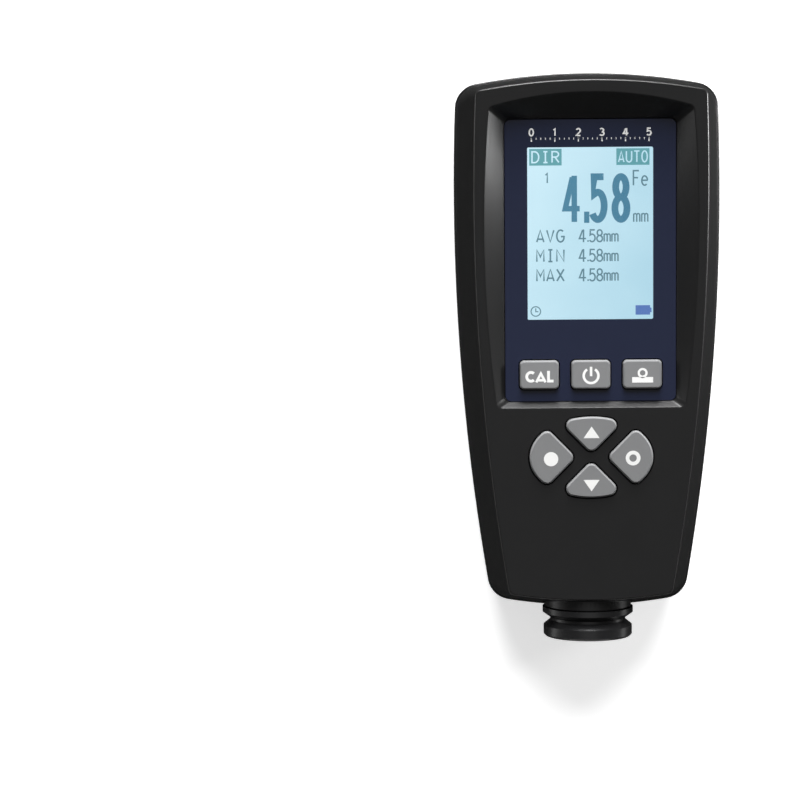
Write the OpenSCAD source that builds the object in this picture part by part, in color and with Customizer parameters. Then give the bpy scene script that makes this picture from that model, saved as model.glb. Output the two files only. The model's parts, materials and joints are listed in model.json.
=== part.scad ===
// Pocket coating thickness gauge, lying on its back with the display up.
// +X is to the right of the display, +Y towards the display's top end, +Z out of the display.
// The origin is under the middle of the whole length, on the surface that the gauge lies on.

/* [Housing] */
// Length of the housing, without the probe
body_l = 108.5; // [104:0.5:116]
// Width of the housing at its widest, on the parting plane
body_w = 54; // [52:0.5:60]
// Height of the parting plane, which holds the probe's axis
split_z = 12.5; // [12:0.1:13.5]
// Depth of the display panel below the front face, at the top end of the housing
panel_sink = 4.2; // [3.6:0.1:5]
// Fall of the front face from the top end to the probe end
front_fall = 4.2; // [3:0.1:4.6]
// Wall of the moulded shells
wall = 2; // [1.6:0.1:2.2]
// Radius of the long sides, seen from the front
side_r = 480; // [400:5:700]
// Distance of the widest place from the top end
wide_drop = 24; // [18:0.5:34]
// Radius of the top end, seen from the front
top_r = 125; // [90:1:200]
// Radius of the probe end, seen from the front
low_r = 100; // [80:1:200]
// Corner radius of the outline on the parting plane
corner_r = 5; // [4:0.1:6]
// How far the front face's edge lies inside the parting line, at the sides
ridge_side = 3.6; // [3:0.1:4]
// The same at the top end
ridge_top = 1.8; // [1.4:0.1:2.4]
// The same at the probe end
ridge_low = 2.3; // [1.8:0.1:2.6]
// Corner radius of the front face's edge
ridge_r = 1.3; // [0.8:0.1:2]
// Width of the small bevel along the front face's edge
ridge_edge = 0.4; // [0.2:0.05:0.6]
// Radius of the bead that runs round the front shell's foot
bead_r = 0.4; // [0.2:0.05:0.5]
// How far the back's flat lies inside the parting line
back_in = 3; // [2:0.1:3.4]
// Height of the rounded edge around the back
back_h = 2.6; // [2.4:0.1:3.4]
// Draft of the rear shell's sides
draft = 0.6; // [0.3:0.1:1]

/* [Display] */
// Width of the display panel
panel_w = 34.1; // [33:0.1:35]
// Distance of the panel's lower edge from the probe end of the housing
low_zone = 42.8; // [40:0.1:46]
// Distance of the panel's top edge from the top end of the housing
panel_drop = 9.6; // [9:0.1:11]
// Thickness of the display panel
panel_t = 0.8; // [0.6:0.1:1]
// Corner radius of the display panel
panel_r = 1.2; // [0.8:0.1:2]
// Width of the panel beside the sight window
window_side = 4.5; // [4:0.1:6]
// Length of the panel below the sight window, which holds the keys
key_zone = 16.3; // [15:0.1:18]
// Distance of the window's top edge from the panel's top edge
window_drop = 5.5; // [5:0.1:7]
// Width of the bevel around the recess at its widest, at the sides
bevel_side = 4.3; // [3.6:0.1:4.6]
// Width of the bevel above the panel, on the middle line
bevel_top = 5.3; // [4.6:0.1:5.8]
// Width of the bevel below the panel
bevel_low = 1.3; // [1:0.1:1.8]
// Radius of the arch over the recess
arch_r = 72; // [60:1:110]
// Radius of the recess's sides, seen from the front
recess_side_r = 260; // [200:5:500]
// Distance of the recess's widest place from the panel's top edge
recess_wide_drop = 21.4; // [18:0.1:28]
// Corner radius of the recess where it meets the front face
recess_r = 1.2; // [0.6:0.1:2]
// How far the liquid crystal cell reaches under the panel, above and below the window
lcd_edge_l = 2.85; // [2:0.05:3.2]
// The same beside the window
lcd_edge_w = 2.45; // [1.8:0.05:2.6]
// Thickness of the liquid crystal cell
lcd_t = 1.6; // [1.2:0.1:2]
// Thickness of the backlight under the cell
backlight_t = 2.2; // [1.6:0.1:3]

/* [Keys] */
// Width of a key on the panel
key_w = 7.8; // [7:0.1:8.4]
// Length of a key on the panel
key_l = 5.8; // [5:0.1:6.4]
// Corner radius of a key on the panel
key_r = 0.9; // [0.5:0.1:1.4]
// Spacing of the keys on the panel
key_pitch = 10.3; // [9.8:0.1:10.6]
// Distance of the key row's middle from the panel's lower edge
key_rise = 5.3; // [4.8:0.1:6]
// Height of the keys over the panel
key_out = 1; // [0.6:0.1:1.4]
// Distance of the cluster's middle from the panel's lower edge
cluster_drop = 11.2; // [11:0.1:12]
// Half width of the key cluster
cluster_a = 12.35; // [12:0.05:13]
// Half length of the key cluster
cluster_b = 8.15; // [7.8:0.05:8.6]
// Width of the bars between the cluster's keys
cluster_gap = 2.7; // [2.4:0.05:3]
// Corner radius of the cluster's keys
cluster_r = 1.4; // [1:0.1:1.6]
// Height of the cluster's keys over the front face
cluster_out = 0.7; // [0.4:0.1:1.2]
// Travel of every key
key_travel = 0.8; // [0.5:0.1:0.9]

/* [Probe] */
// Length of the sleeve outside the housing
sleeve_out = 6.1; // [5.6:0.1:7.5]
// Radius of the sleeve's collar against the housing
collar_r = 9.25; // [8.8:0.05:9.6]
// Radius of the sleeve's barrel
barrel_r = 9.05; // [8.6:0.05:9.4]
// Radius at the bottom of the groove round the sleeve
groove_r = 7.7; // [7.2:0.1:8.2]
// Length of the collar's straight side
collar_l = 1.1; // [0.8:0.1:1.6]
// Length of the groove along the sleeve
groove_l = 2.7; // [2:0.1:3]
// Radius of the sleeve where the housing holds it
neck_r = 6.4; // [6.2:0.1:6.8]
// Radius of the sleeve's holding flange inside the housing
flange_r = 7.6; // [7.4:0.1:7.8]
// Radius of the sprung core in the sleeve
core_r = 4.8; // [4.6:0.05:4.9]
// How far the tip stands out of the sleeve
tip_out = 0.7; // [0.4:0.1:1.2]
// Radius of the pin and of its round tip
pin_r = 1.5; // [1.2:0.05:1.8]
// Travel of the sprung core
core_travel = 2; // [1:0.1:2]

/* [Power] */
// Diameter of a cell, size AAA
cell_d = 10.5; // [10.2:0.1:10.6]
// Length of a cell over its nub
cell_l = 44.5; // [43.5:0.1:45]
// Thickness of the battery door
door_t = 1.8; // [1.6:0.1:2.2]
// Thickness of the circuit board
board_t = 1.6; // [1:0.1:1.8]

/* [Hidden] */

// The rear shell's lip that stands inside the front shell's wall
lip_h = 1.2;
lip_in = 1.25;

// The share of an inward step that a housing corner's radius gives up, and the radius of a straight side
corner_share = 0.6;
straight = 20000;

// Clearances, and the thickness of a sheet that a hull starts from
slip = 0.1;
play = 0.25;
eps = 0.01;
over = 1;

// Places along the length
total_l = body_l + sleeve_out + tip_out;
y_top = total_l / 2;
y_low = y_top - body_l;
y_wide = y_top - wide_drop;
panel_l = body_l - panel_drop - low_zone;
window_w = panel_w - 2 * window_side;
window_l = panel_l - window_drop - key_zone;
lcd_w = window_w + 2 * lcd_edge_w;
lcd_l = window_l + 2 * lcd_edge_l;
panel_top = y_top - panel_drop;
panel_mid = panel_top - panel_l / 2;
panel_low = panel_top - panel_l;
window_mid = panel_top - window_drop - window_l / 2;
key_row = panel_low + key_rise;
cluster_mid = panel_low - cluster_drop;

// The probe, from the housing's end inwards
sleeve_end = y_low - sleeve_out;
seat_more = 1;
seat_l = ridge_low + seat_more;
seat_r = flange_r + play + seat_more;
flange_y = y_low + seat_l + slip;
flange_t = 1.6;
step_in = 4.4;
core_step = flange_y + step_in;
shoulder_t = 1.6;
shoulder_out = 0.8;
shoulder_play = 0.1;
spring_solid = 2.6;
spring_l = core_travel + spring_solid;
spring_in = 0.1;
cap_t = 1.5;
cap_spigot = 0.7;
sleeve_in = core_step + shoulder_t + spring_l + cap_spigot;
probe_in = sleeve_in + cap_t;
core_in = 0.5;
core_face = sleeve_end + core_in;
core_face_t = 1.2;
cup_wall = 1;
cup_r = core_r - cup_wall;
coil_l = 6;
pin_tail = 1;

// The battery bay, above the probe
bay_wall = 1.4;
bay_gap = 0.5;
plate_t = 0.4;
nub_gap = 0.05;
contact_l = 4.2;
bay_low = probe_in + bay_gap + bay_wall;
bay_l = cell_l + contact_l + 2 * plate_t + nub_gap;
bay_top = bay_low + bay_l;
cell_gap = 0.4;
cell_x = (cell_d + cell_gap) / 2;
bay_half = cell_d + cell_gap;
door_seat = 1.6;
door_half = bay_half + bay_wall + door_seat;
tongue = 1;
tongue_t = 0.9;
door_top = bay_top + bay_wall;
door_gap = 0.2;
roof_z = door_t + door_gap;
roof_t = 1.4;

// Heights, from the back to the front
cell_z = roof_z + door_gap + cell_d / 2;
ceiling_z = cell_z + cell_d / 2 + cell_gap;
ceiling_t = 1.2;
board_gap = 1;
board_edge = 2.4;
board_r = 2;
board_z = ceiling_z + ceiling_t + board_gap;
board_top = board_z + board_t;
frame_floor = 0.6;
frame_t = 0.5;
frame_slip = 0.2;
frame_r = 0.5;
window_r = 0.3;
lens_gap = 0.2;
seat_z = board_top + frame_floor + backlight_t + lcd_t + lens_gap;
panel_z = seat_z + panel_t;
front_z = panel_z + panel_sink;
front_tilt = atan(front_fall / body_l);
tray_t = 1.5;
chip_w = 10;
chip_t = 1.4;
mat_t = 1.4;
mat_edge = 2;
pill_t = 0.3;
pill_r = 1.6;
pill_share = [0.63, 0.58];
key_base = board_top + key_travel + pill_t + slip;
key_rim = 0.5;
key_rim_t = 0.8;
key_edge = 0.3;
channel_angle = 45.5;
cluster_tip = 0.7;

// Screws
screw_r = 1;
screw_head_r = 1.9;
screw_head_t = 1.4;
post_r = 2.7;
case_bore_r = 2.2;
case_seat = 5;
case_thread = 5.5;
board_post_r = 2.2;
board_thread = 2.6;
thread_end = 0.4;
post_gap = 0.3;
case_top_in = [6.5, 7];
case_low_in = [2.4, 12];
board_low = probe_in + bay_gap;
board_top_drop = 10.6;
board_post_in = board_post_r + post_gap;
case_top = [body_w / 2 - case_top_in.x, y_top - case_top_in.y];
case_low = [neck_r + post_r + case_low_in.x, y_low + case_low_in.y];
board_up = [lcd_w / 2 + frame_t + 2 * frame_slip + board_post_in, y_top - board_top_drop - board_post_in];
board_down = [bay_half + bay_wall + play + screw_head_r, board_low + board_post_in];

// Points on an arc about c, from angle a to angle b, without the last one
function arc(c, r, a, b, n) = [for (i = [0 : n - 1]) let (t = a + (b - a) * i / n) c + r * [cos(t), sin(t)]];

// A half outline on the +X side, and its mirror image in the opposite order
function mirrored(half) =
    concat(half, [for (i = [len(half) - 1 : -1 : 0]) if (half[i].x > eps) [-half[i].x, half[i].y]]);

function heading(from, to) = atan2(to.y - from.y, to.x - from.x);

// The place at distance ra from a and rb from b, on the upper (s = 1) or lower (s = -1) side
function meet(a, ra, b, rb, s) =
    let (d = norm(b - a), u = (b - a) / d, along = (ra ^ 2 - rb ^ 2 + d ^ 2) / (2 * d))
    a + along * u + s * sqrt(ra ^ 2 - along ^ 2) * [-u.y, u.x];

// An outline with long curved sides, arched ends and round corners, symmetric about the Y axis.
// half is its half width at height wide, and top and low are its ends on the middle line.
function outline(half, sides, wide, top, top_arc, low, low_arc, r_top, r_low) =
    let (
        cs = [half - sides, wide],
        ct = [0, top - top_arc],
        cl = [0, low + low_arc],
        c1 = meet(cs, sides - r_top, ct, top_arc - r_top, 1),
        c2 = meet(cs, sides - r_low, cl, low_arc - r_low, -1)
    )
    mirrored(concat(
        arc(ct, top_arc, 90, heading(ct, c1), 10),
        arc(c1, r_top, heading(ct, c1), heading(cs, c1), 7),
        arc(cs, sides, heading(cs, c1), heading(cs, c2), 20),
        arc(c2, r_low, heading(cs, c2), heading(cl, c2), 7),
        arc(cl, low_arc, heading(cl, c2), -90, 10),
        [[0, low]]
    ));

// The housing's outline, brought in by s at the sides, t at the top and l at the probe end
function body_outline(s, t, l, r) =
    outline(body_w / 2 - s, side_r - s, y_wide, y_top - t, top_r - t, y_low + l, low_r - l, r, r);

// The recess around the panel where it meets the front face
function recess_outline(grow) =
    outline(panel_w / 2 + bevel_side + grow, recess_side_r, panel_top - recess_wide_drop,
        panel_top + bevel_top + grow, arch_r, panel_low - bevel_low - grow, straight, recess_r, recess_r);

// The panel's outline grown by g
function panel_outline(g) =
    outline(panel_w / 2 + g, straight, panel_mid,
        panel_top + g, straight, panel_low - g, straight, panel_r, panel_r);

// Outline points at height z, and outline points on the sloping front face raised by h
function level(points, z) = [for (p = points) [p.x, p.y, z]];
function sloped(points, h) = [for (p = points) [p.x, p.y, front_z + h - (y_top - p.y) * front_fall / body_l]];

function ellipse(a, b, n) = [for (i = [0 : n - 1]) [a * cos(360 * i / n), b * sin(360 * i / n)]];

// Rings of points, each with as many points as the next, joined into a closed skin
module loft(rings) {
    n = len(rings[0]);
    m = len(rings);
    polyhedron(
        points = [for (r = rings) each r],
        faces = concat(
            [[for (k = [n - 1 : -1 : 0]) k]],
            [for (i = [0 : m - 2], k = [0 : n - 1]) [i * n + k, i * n + (k + 1) % n, (i + 1) * n + k]],
            [for (i = [0 : m - 2], k = [0 : n - 1])
                [i * n + (k + 1) % n, (i + 1) * n + (k + 1) % n, (i + 1) * n + k]],
            [[for (k = [0 : n - 1]) (m - 1) * n + k]]
        )
    );
}

// A coil spring along +Y from y 0, with radius r0 at the start and r1 at the end
module coil(r0, r1, length, turns, wire) {
    sides = 6;
    steps = 14 * turns;
    rise = length - 2 * wire;
    loft([for (i = [0 : steps])
        let (f = i / steps, a = 360 * turns * f, r = r0 + (r1 - r0) * f)
        [for (k = [0 : sides - 1])
            let (b = -360 * k / sides, d = r + wire * cos(b))
            [d * cos(a), wire + rise * f + wire * sin(b), d * sin(a)]]]);
}

// Everything below the sloping front face raised by h
module under_front(h) {
    translate([0, y_top, front_z + h])
        rotate([front_tilt, 0, 0])
            translate([-body_w, -2 * body_l, -2 * front_z])
                cube([2 * body_w, 3 * body_l, 2 * front_z]);
}

module round_rect(w, l, r) {
    square([w - 2 * r, l], center = true);
    square([w, l - 2 * r], center = true);
    for (x = [-1, 1], y = [-1, 1])
        translate([x * (w / 2 - r), y * (l / 2 - r)]) circle(r, $fn = 48);
}

module round_plate(w, l, r, y, z, t) {
    translate([0, y, z]) linear_extrude(t) round_rect(w, l, r);
}

module both_sides(at) {
    for (x = [-1, 1]) translate([x * at.x, at.y, 0]) children();
}

// Upright posts or bores of radius r on both sides of the places listed, from height z up by h
module posts(places, r, z, h) {
    for (at = places)
        both_sides(at) translate([0, 0, z]) cylinder(r = r, h = h, $fn = 48);
}

// A turned piece about the probe's axis: points are [radius, place along Y]
module turned(points) {
    translate([0, 0, split_z])
        rotate([-90, 0, 0])
            rotate_extrude($fn = 96)
                polygon(points);
}

// The outside of the front shell, brought in by g, from foot below the parting plane
module front_form(g, foot) {
    loft(concat(
        [level(body_outline(g, g, g, corner_r - g * corner_share), split_z - foot)],
        [for (a = [30 : 30 : 90])
            let (e = g + bead_r * (1 - cos(a)))
            level(body_outline(e, e, e, corner_r - e * corner_share), split_z + bead_r * sin(a))],
        [for (a = [0 : 45 : 90])
            let (e = g + ridge_edge * (1 - cos(a)), h = -g - ridge_edge * (1 - sin(a)))
            sloped(body_outline(ridge_side + e, ridge_top + e, ridge_low + e, ridge_r), h)]
    ));
}

// The outside of the rear shell, brought in by g, up to head above the parting plane
module rear_form(g, head) {
    loft(concat(
        [for (a = [0 : 30 : 90])
            let (e = g + draft + (back_in - draft) * (1 - sin(a)), z = g + (back_h - g) * (1 - cos(a)))
            level(body_outline(e, e, e, corner_r - e * corner_share), z)],
        [level(body_outline(g, g, g, corner_r - g * corner_share), split_z + head)]
    ));
}

// The recess from the front face down to the panel, and the panel's pocket under it, grown by g all round
module recess(g) {
    pocket = panel_outline(slip + g);
    edge = recess_outline(g);
    loft(concat(
        [level(pocket, seat_z - g)],
        [for (f = [0 : 0.5 : 1]) (1 - f) * level(pocket, panel_z - g) + f * sloped(edge, 0)],
        [sloped(edge, over)]
    ));
}

// The keys' outlines, seen from the front
module panel_key(g) {
    round_rect(key_w + 2 * g, key_l + 2 * g, key_r + g);
}

// A wedge pointing at the cluster's middle, with its point a distance tip along +Y
module wedge(tip, half_angle) {
    reach = 2 * cluster_a;
    polygon([[0, tip], [reach * tan(half_angle), tip + reach], [-reach * tan(half_angle), tip + reach]]);
}

module cluster_key(turn, g) {
    tall = turn % 180 == 0;
    tip = tall ? cluster_tip : (cluster_gap / cos(channel_angle) - cluster_tip) / tan(channel_angle);
    half_angle = tall ? 90 - channel_angle : channel_angle;
    offset(delta = g)
        offset(r = cluster_r, $fn = 32)
            offset(delta = -cluster_r)
                intersection() {
                    polygon(ellipse(cluster_a, cluster_b, 72));
                    rotate(-turn) wedge(tip, half_angle);
                }
}

// A key with a soft top edge, a rim that the housing holds back, and a contact pill underneath.
// child 0 is its outline, child 1 the outline of its top, and child 2 that of its rim.
module key_body(top) {
    color("#8f9092") {
        hull() {
            translate([0, 0, key_base]) linear_extrude(top - key_edge - key_base) children(0);
            translate([0, 0, top - eps]) linear_extrude(eps) children(1);
        }
        translate([0, 0, key_base]) linear_extrude(key_rim_t) children(2);
        translate([0, 0, key_base - pill_t]) cylinder(r = pill_r, h = pill_t + eps, $fn = 32);
    }
}

module panel_key_at(n) {
    translate([n * key_pitch, key_row, 0])
        key_body(panel_z + key_out) {
            panel_key(0);
            panel_key(-key_edge);
            panel_key(key_rim);
        }
}

// The place where a cluster key's pill sits
function pill_at(turn) = [pill_share.x * cluster_a * sin(turn), pill_share.y * cluster_b * cos(turn)];

// A cluster key's cap with its outline grown by g, up to h over the sloping front face
module cluster_cap(turn, g, h) {
    intersection() {
        translate([0, cluster_mid, key_base]) linear_extrude(front_z + h - key_base) cluster_key(turn, g);
        under_front(h);
    }
}

module cluster_key_at(turn) {
    color("#8f9092") {
        hull() {
            cluster_cap(turn, 0, cluster_out - key_edge);
            cluster_cap(turn, -key_edge, cluster_out);
        }
        translate([0, cluster_mid, key_base]) linear_extrude(key_rim_t) cluster_key(turn, key_rim);
        translate([pill_at(turn).x, cluster_mid + pill_at(turn).y, key_base - pill_t])
            cylinder(r = pill_r, h = pill_t + eps, $fn = 32);
    }
}

// Openings for all the keys, grown by g from the keys' outlines
module key_openings(g) {
    for (n = [-1 : 1]) translate([n * key_pitch, key_row]) panel_key(g);
    for (t = [0 : 90 : 270]) translate([0, cluster_mid]) cluster_key(t, g);
}

// A straight length of the probe's axis, from one place along Y to another
module rod(r, from, to) {
    turned([[0, from], [r, from], [r, to], [0, to]]);
}

// The thickened end wall that holds the sleeve's neck, and the hole through it with room for the flange
module probe_seat() {
    rod(seat_r, y_low - over, y_low + seat_l);
}

// The upper half of that wall, square at its end, so that the sloping end of the front shell meets the collar
module probe_nose() {
    intersection() {
        rod(seat_r, y_low, y_low + seat_l);
        translate([-seat_r, y_low, split_z]) cube([2 * seat_r, seat_l, seat_r]);
    }
}

// The gap in the lip where the front shell's seat comes down
module probe_seat_room() {
    translate([0, y_low, split_z]) cube([2 * (seat_r + slip), 4 * wall, 4 * lip_h], center = true);
}

module probe_bore() {
    rod(neck_r + slip, y_low - over, y_low + seat_l + over);
    rod(flange_r + play, y_low + seat_l, flange_y + flange_t + over);
}

// The shape inside the parting line by g, from the parting plane up
module parting_plan(g, h) {
    translate([0, 0, split_z]) linear_extrude(h) polygon(body_outline(g, g, g, corner_r - g * corner_share));
}

module front_housing() {
    frame_room = 2 * (frame_t + 2 * frame_slip);
    color("#2a2a2c")
        difference() {
            union() {
                difference() {
                    front_form(0, 0);
                    front_form(wall, over);
                }
                intersection() {
                    front_form(wall / 2, 0);
                    union() {
                        probe_seat();
                        recess(tray_t);
                        posts([case_top, case_low], post_r, split_z, front_z);
                        posts([board_up, board_down], board_post_r, board_top, front_z);
                    }
                }
                probe_nose();
            }
            difference() {
                translate([0, 0, -eps]) parting_plan(lip_in - slip, lip_h + slip + eps);
                probe_seat();
                posts([case_top, case_low], post_r, split_z - over, front_z);
            }
            recess(0);
            round_plate(lcd_w + frame_room, lcd_l + frame_room, frame_r, window_mid, board_top, front_z);
            translate([0, 0, board_top]) linear_extrude(front_z) key_openings(play);
            probe_bore();
            posts([case_top, case_low], screw_r + eps, split_z - over, case_thread + over);
            posts([board_up, board_down], screw_r + eps, board_top - over, board_thread + over);
        }
}

// A door's outline in plan, from beyond the probe end up to its top edge
module door_plan(half, top) {
    translate([-half, y_low - over]) square([2 * half, top - y_low + over]);
}

module rear_housing() {
    bay_out = bay_half + bay_wall;
    color("#252527")
        difference() {
            union() {
                difference() {
                    rear_form(0, 0);
                    rear_form(wall, over);
                }
                intersection() {
                    rear_form(wall / 2, 0);
                    union() {
                        probe_seat();
                        linear_extrude(roof_z + roof_t) door_plan(door_half + tongue + wall, door_top + wall);
                        posts([case_top, case_low], post_r, 0, split_z);
                    }
                }
                difference() {
                    translate([0, 0, -over]) parting_plan(lip_in, lip_h + over);
                    translate([0, 0, -2 * over]) parting_plan(wall, lip_h + 3 * over);
                    probe_seat_room();
                    posts([case_top], post_r + play, 0, front_z);
                }
                translate([-bay_out, bay_low - bay_wall, roof_z])
                    cube([2 * bay_out, bay_l + 2 * bay_wall, ceiling_z + ceiling_t - roof_z]);
            }
            translate([-bay_half, bay_low, 0]) cube([2 * bay_half, bay_l, ceiling_z]);
            translate([0, 0, -over])
                linear_extrude(roof_z + over) door_plan(door_half + slip, door_top + slip);
            translate([0, 0, door_t - tongue_t - slip])
                linear_extrude(roof_z - door_t + tongue_t + slip)
                    door_plan(door_half + tongue + slip, door_top + slip);
            probe_bore();
            posts([case_top, case_low], case_bore_r, -over, split_z - case_seat + over);
            posts([case_top, case_low], screw_r + slip, 0, split_z + over);
        }
}

module battery_door() {
    grip_w = 16;
    grip_n = 6;
    grip_pitch = 2.2;
    grip_t = 0.5;
    grip_y = y_low + 14;
    color("#252527")
        difference() {
            intersection() {
                rear_form(0, 0);
                union() {
                    linear_extrude(door_t) door_plan(door_half, door_top);
                    translate([0, 0, door_t - tongue_t])
                        linear_extrude(tongue_t) door_plan(door_half + tongue, door_top);
                }
            }
            for (i = [0 : grip_n - 1])
                translate([-grip_w / 2, grip_y + i * grip_pitch, -over])
                    cube([grip_w, grip_pitch / 2, over + grip_t]);
        }
}

module display_panel() {
    color("#2b3046")
        translate([0, 0, seat_z])
            linear_extrude(panel_t)
                difference() {
                    translate([0, panel_mid]) round_rect(panel_w, panel_l, panel_r);
                    translate([0, window_mid]) round_rect(window_w, window_l, window_r);
                    for (n = [-1 : 1]) translate([n * key_pitch, key_row]) panel_key(play);
                }
}

module display_window() {
    color("#d8f0f4", 0.3)
        round_plate(window_w - slip, window_l - slip, window_r, window_mid, seat_z, panel_t);
}

module lcd_glass() {
    color("#bfe9f0")
        translate([-lcd_w / 2, window_mid - lcd_l / 2, board_top + frame_floor + backlight_t])
            cube([lcd_w, lcd_l, lcd_t]);
}

module lcd_backlight() {
    color("white")
        translate([-lcd_w / 2, window_mid - lcd_l / 2, board_top + frame_floor])
            cube([lcd_w, lcd_l, backlight_t]);
}

module lcd_frame() {
    out_w = lcd_w + 2 * (frame_t + frame_slip);
    out_l = lcd_l + 2 * (frame_t + frame_slip);
    color("#1b1b1d")
        difference() {
            round_plate(out_w, out_l, frame_r, window_mid, board_top, frame_floor + backlight_t + lcd_t);
            translate([-lcd_w / 2 - frame_slip, window_mid - lcd_l / 2 - frame_slip, board_top + frame_floor])
                cube([lcd_w + 2 * frame_slip, lcd_l + 2 * frame_slip, backlight_t + lcd_t + over]);
        }
}

module main_board() {
    edge = wall + board_edge;
    color("#1f5b38")
        difference() {
            translate([0, 0, board_z])
                linear_extrude(board_t)
                    intersection() {
                        polygon(body_outline(edge, board_top_drop, edge, board_r));
                        translate([-body_w / 2, board_low]) square([body_w, body_l]);
                    }
            posts([board_up, board_down], screw_r + slip, 0, front_z);
        }
}

module microcontroller() {
    color("#17181a")
        translate([-chip_w / 2, bay_top + bay_wall + chip_w / 2, board_z - chip_t])
            cube([chip_w, chip_w, chip_t]);
}

// A screw with its head below z 0 and its shank up to z length
module screw(length) {
    slot_l = 1.8;
    slot_w = 0.5;
    slot_t = 0.8;
    color("silver")
        difference() {
            union() {
                translate([0, 0, -screw_head_t]) cylinder(r = screw_head_r, h = screw_head_t, $fn = 40);
                translate([0, 0, -eps]) cylinder(r = screw_r, h = length + eps, $fn = 32);
            }
            for (a = [0, 90])
                rotate(a)
                    translate([-slot_l / 2, -slot_w / 2, -screw_head_t - over])
                        cube([slot_l, slot_w, over + slot_t]);
        }
}

module board_screws() {
    length = board_t + board_thread - thread_end;
    both_sides(board_up) translate([0, 0, board_z]) screw(length);
    both_sides(board_down) translate([0, 0, board_z]) screw(length);
}

module case_screws() {
    length = case_seat + case_thread - thread_end;
    both_sides(case_top) translate([0, 0, split_z - case_seat]) screw(length);
    both_sides(case_low) translate([0, 0, split_z - case_seat]) screw(length);
}

module keypad_mat() {
    mat_w = 2 * (key_pitch + key_w / 2 + mat_edge);
    mat_top = key_row + key_l / 2 + mat_edge;
    mat_low = cluster_mid - cluster_b - key_rim - mat_edge;
    color("#6f7073")
        difference() {
            translate([-mat_w / 2, mat_low, board_top]) cube([mat_w, mat_top - mat_low, mat_t]);
            translate([0, 0, board_top - over]) linear_extrude(mat_t + 2 * over) key_openings(key_rim + play);
            posts([board_down], board_post_r + play, 0, front_z);
        }
}

module probe_sleeve() {
    groove_flat = 0.5;
    bevel = (groove_l - groove_flat) / 2;
    g0 = y_low - slip - collar_l;
    edge = 0.4;
    wide = core_r + shoulder_out + shoulder_play;
    color("#1d1d1f")
        turned([
            [core_r + slip, sleeve_end],
            [barrel_r - edge, sleeve_end],
            [barrel_r, sleeve_end + edge],
            [barrel_r, g0 - groove_l],
            [groove_r, g0 - groove_l + bevel],
            [groove_r, g0 - bevel],
            [collar_r, g0],
            [collar_r, y_low - slip],
            [neck_r, y_low - slip],
            [neck_r, flange_y],
            [flange_r, flange_y],
            [flange_r, flange_y + flange_t],
            [neck_r, flange_y + flange_t],
            [neck_r, sleeve_in],
            [wide, sleeve_in],
            [wide, core_step],
            [core_r + slip, core_step]
        ]);
}

module probe_cap() {
    spigot_r = core_r + shoulder_out;
    lead_r = 1.5;
    color("#1d1d1f")
        turned([
            [lead_r, sleeve_in - cap_spigot],
            [spigot_r, sleeve_in - cap_spigot],
            [spigot_r, sleeve_in],
            [neck_r, sleeve_in],
            [neck_r, probe_in],
            [lead_r, probe_in]
        ]);
}

module probe_core() {
    shoulder_r = core_r + shoulder_out;
    back = core_step + shoulder_t;
    color("#b08d4a")
        turned([
            [pin_r + eps, core_face],
            [core_r, core_face],
            [core_r, core_step + eps],
            [shoulder_r, core_step + eps],
            [shoulder_r, back],
            [cup_r, back],
            [cup_r, core_face + core_face_t],
            [pin_r + eps, core_face + core_face_t]
        ]);
}

module probe_pin() {
    head = sleeve_end - tip_out;
    tail = core_face + core_face_t + coil_l + pin_tail;
    color("#c9cace") {
        turned([[0, head + pin_r], [pin_r, head + pin_r], [pin_r, tail], [0, tail]]);
        translate([0, head + pin_r, split_z]) sphere(pin_r, $fn = 48);
    }
}

module sensor_coil() {
    inner = pin_r + slip / 2;
    outer = cup_r - slip;
    start = core_face + core_face_t + eps;
    color("#b5652a")
        turned([[inner, start], [outer, start], [outer, start + coil_l], [inner, start + coil_l]]);
}

module probe_spring() {
    wire = 0.35;
    color("silver")
        translate([0, core_step + shoulder_t, split_z])
            coil(core_r - spring_in, core_r - spring_in, spring_l, 3, wire);
}

// A cell along +Y from its flat end at y 0
module cell() {
    nub_r = 1.9;
    nub_l = 0.8;
    rim = 0.4;
    color("#2f5d8a")
        rotate([-90, 0, 0])
            rotate_extrude($fn = 64)
                polygon([
                    [0, 0],
                    [cell_d / 2 - rim, 0],
                    [cell_d / 2, rim],
                    [cell_d / 2, cell_l - nub_l - rim],
                    [cell_d / 2 - rim, cell_l - nub_l],
                    [nub_r, cell_l - nub_l],
                    [nub_r, cell_l],
                    [0, cell_l]
                ]);
}

// The left cell's nub points up, and the right cell's nub points at the probe
module battery_1() {
    translate([-cell_x, bay_top - plate_t - nub_gap - cell_l, cell_z]) cell();
}

module battery_2() {
    translate([cell_x, bay_low + plate_t + nub_gap + cell_l, cell_z]) rotate([0, 0, 180]) cell();
}

module contact_springs() {
    wire = 0.3;
    foot_in = 1.65;
    head_in = 3.05;
    foot_r = cell_d / 2 - foot_in;
    head_r = cell_d / 2 - head_in;
    color("silver") {
        translate([-cell_x, bay_low + plate_t, cell_z]) coil(foot_r, head_r, contact_l, 4, wire);
        translate([cell_x, bay_top - plate_t, cell_z])
            rotate([0, 0, 180])
                coil(foot_r, head_r, contact_l, 4, wire);
    }
}

module contact_plates() {
    plate_in = 1.9;
    plate_w = cell_d - plate_in;
    color("silver") {
        for (x = [-1, 1])
            translate([x * cell_x - plate_w / 2, bay_low, cell_z - plate_w / 2])
                cube([plate_w, plate_t, plate_w]);
        translate([-cell_x - plate_w / 2, bay_top - plate_t, cell_z - plate_w / 2])
            cube([2 * cell_x + plate_w, plate_t, plate_w]);
    }
}

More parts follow.
